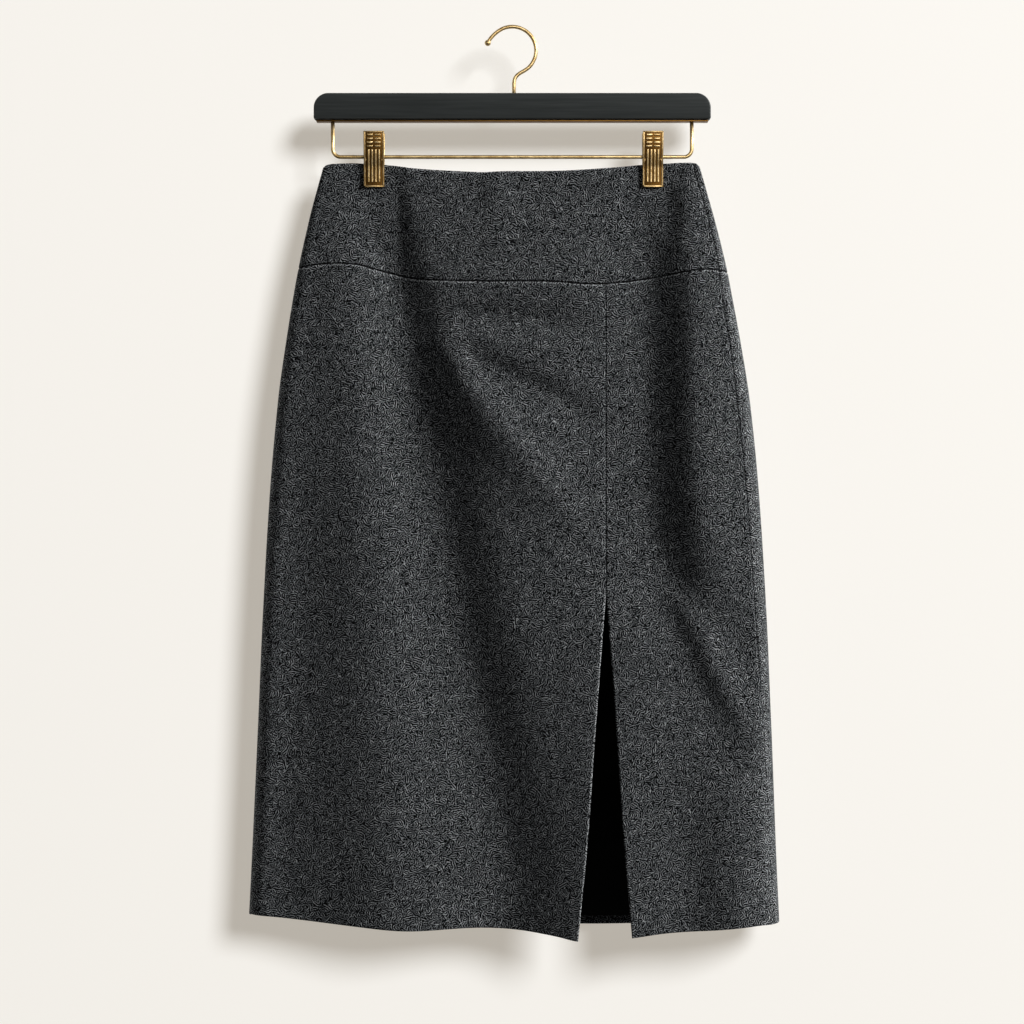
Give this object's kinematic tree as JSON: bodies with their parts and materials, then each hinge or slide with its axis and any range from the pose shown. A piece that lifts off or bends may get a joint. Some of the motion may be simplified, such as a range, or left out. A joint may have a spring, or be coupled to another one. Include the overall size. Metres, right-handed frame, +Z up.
{
  "type": "pencil skirt on a clip hanger",
  "caption": "Charcoal tweed pencil skirt with a hip yoke and a front slit, hanging by two clips from a black bar hanger with a brass wire frame and hook.",
  "frame": {"origin": "inside top of the hanger's hook, where it hangs on a rail", "axes": "+Z up, the front of the skirt faces -Y, +X to the viewer's right when looking at the front"},
  "size_m": [0.5054, 0.0814, 0.8699],
  "materials": {
    "tweed": "napped wool tweed, charcoal with pale curly fibres",
    "lining": "smooth black lining with a soft sheen",
    "zip_tape": "woven black tape",
    "zip_metal": "black enamelled metal",
    "black_wood": "matte black lacquer",
    "brass": "satin antique brass",
    "spring_steel": "coiled spring wire"
  },
  "bodies": {
    "skirt_and_hanger": {"yoke_front": "tweed", "back_yoke_right": "tweed", "back_yoke_left": "tweed", "front_panel_left": "tweed", "front_panel_right": "tweed", "back_panel_right": "tweed", "back_panel_left": "tweed", "lining_back": "lining", "zip_tape": "zip_tape", "zip_slider": "zip_metal", "hanger_bar": "black_wood", "bar_trim": "brass", "hanger_hook": "brass", "hanger_rod": "brass", "clip_left_front": "brass", "clip_left_back": "brass", "clip_left_spring": "spring_steel", "clip_right_front": "brass", "clip_right_back": "brass", "clip_right_spring": "spring_steel"},
    "zip_tab": {"zip_pull": "zip_metal"}
  },
  "joints": [
    {"name": "zip_tab_hinge", "type": "hinge", "parent": "skirt_and_hanger", "child": "zip_tab", "pos_m": [0.01, 0.00896, -0.14902], "axis": [1, 0, 0], "range_deg": [0, 150]}
  ]
}
